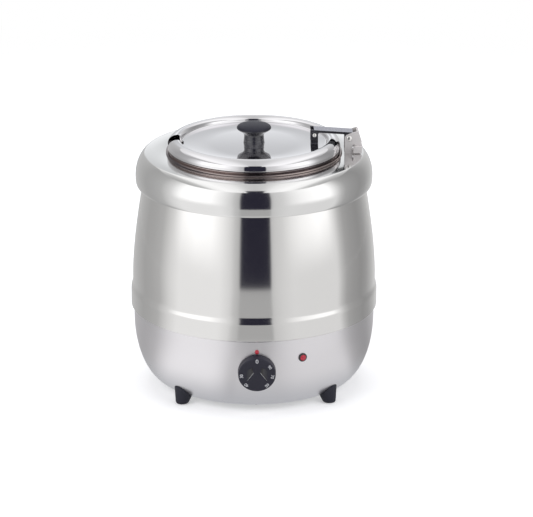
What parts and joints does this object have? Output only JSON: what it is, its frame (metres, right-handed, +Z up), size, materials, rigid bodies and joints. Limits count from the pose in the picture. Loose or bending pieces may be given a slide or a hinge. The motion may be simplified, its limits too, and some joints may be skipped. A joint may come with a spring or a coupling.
{
  "type": "soup kettle",
  "caption": "Electric soup kettle: round steel barrel with a belt and rolled collar, lift-out pot, hinged lid with knob and ladle notch, thermostat dial and lamp.",
  "frame": {"origin": "centre of the footprint, on the surface that the feet stand on", "axes": "+Z up; the dial faces -Y; the lid's hinge is on the +X side and the cord gland at +Y"},
  "size_m": [0.3499, 0.3634, 0.38],
  "materials": {
    "body_steel": "polished",
    "bowl_steel": "satin",
    "collar_steel": "polished",
    "lid_steel": "mirror",
    "pot_steel": "mirror",
    "well_steel": "satin",
    "hinge_steel": "satin",
    "arm_steel": "satin",
    "pin_steel": "polished",
    "screw_steel": "satin",
    "plate_steel": "satin",
    "knob_plastic": "gloss",
    "dial_plastic": "fine texture",
    "dial_print": "printed",
    "foot_rubber": "matt",
    "fitting_plastic": "matt",
    "red_plastic": "gloss",
    "heater_steel": "dull",
    "copper": "dull",
    "block_plastic": "matt"
  },
  "bodies": {
    "kettle": {"barrel_shell": "body_steel", "base_bowl": "bowl_steel", "collar": "collar_steel", "base_plate": "plate_steel", "base_plate_screws": "screw_steel", "side_screws": "screw_steel", "foot_front_left": "foot_rubber", "foot_front_right": "foot_rubber", "foot_back_left": "foot_rubber", "foot_back_right": "foot_rubber", "foot_screws": "screw_steel", "water_well": "well_steel", "inner_pot": "pot_steel", "heating_element": "heater_steel", "heater_plate": "plate_steel", "heater_nuts": "screw_steel", "thermal_cutout": "fitting_plastic", "thermostat_body": "well_steel", "thermostat_nut": "screw_steel", "capillary_tube": "copper", "capillary_bulb": "copper", "bulb_clip": "screw_steel", "terminal_block": "block_plastic", "terminal_screws": "copper", "lamp_body": "fitting_plastic", "lamp_lens": "red_plastic", "lamp_clip": "screw_steel", "index_bead": "red_plastic", "cord_gland": "fitting_plastic", "gland_nut": "fitting_plastic", "hinge_bracket": "hinge_steel", "bracket_screws": "screw_steel", "hinge_pin": "pin_steel"},
    "lid": {"lid_panel": "lid_steel", "lid_knob": "knob_plastic", "knob_screw": "screw_steel", "lid_saddle": "arm_steel", "saddle_rivets": "screw_steel", "lid_arm": "arm_steel", "arm_pin": "pin_steel"},
    "dial": {"control_dial": "dial_plastic", "thermostat_shaft": "pin_steel"}
  },
  "joints": [
    {"name": "lid_hinge", "type": "hinge", "parent": "kettle", "child": "lid", "pos_m": [0.1338, 0, 0.3595], "axis": [0, 1, 0], "range_deg": [0, 98]},
    {"name": "dial_turn", "type": "hinge", "parent": "kettle", "child": "dial", "pos_m": [0, -0.16876, 0.069], "axis": [0, 0.9876, 0.1569], "range_deg": [0, 305]}
  ]
}
